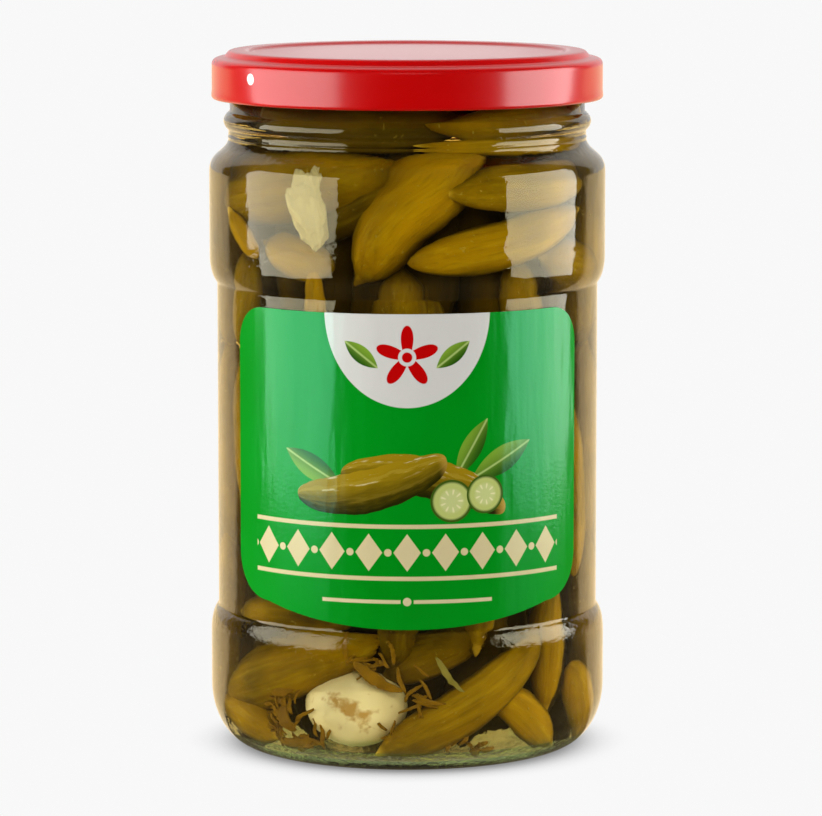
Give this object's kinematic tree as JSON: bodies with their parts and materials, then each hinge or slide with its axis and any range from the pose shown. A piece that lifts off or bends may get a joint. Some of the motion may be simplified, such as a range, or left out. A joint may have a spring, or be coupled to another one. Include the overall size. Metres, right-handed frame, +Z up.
{
  "type": "pickle jar",
  "caption": "Waisted glass jar of pickled gherkins in brine, shut by a pressed metal twist-off lid, with a paper label round its front.",
  "frame": {"origin": "on the ground, under the middle of the jar's base", "axes": "+Z up along the jar's axis, -Y out of the middle of the label, +X to the right of the label seen from in front"},
  "size_m": [0.087, 0.087, 0.1533],
  "materials": {
    "glass": "clear, faintly green",
    "red_lacquer": "gloss",
    "label_paper": "gloss varnish",
    "gherkin_skin": "wet food skin",
    "garlic": "wet food",
    "herb": "wet leaf",
    "herb_stem": "wet stem"
  },
  "bodies": {
    "root": {"glass_jar": "glass", "lid": "red_lacquer", "label": "label_paper", "pickles": "gherkin_skin", "garlic_bulb": "garlic", "garlic_clove": "garlic", "herb_shred_1": "herb", "herb_shred_2": "herb", "herb_shred_3": "herb", "herb_shred_4": "herb", "herb_shred_5": "herb", "herb_twig": "herb", "herb_stem": "herb_stem"}
  },
  "joints": []
}
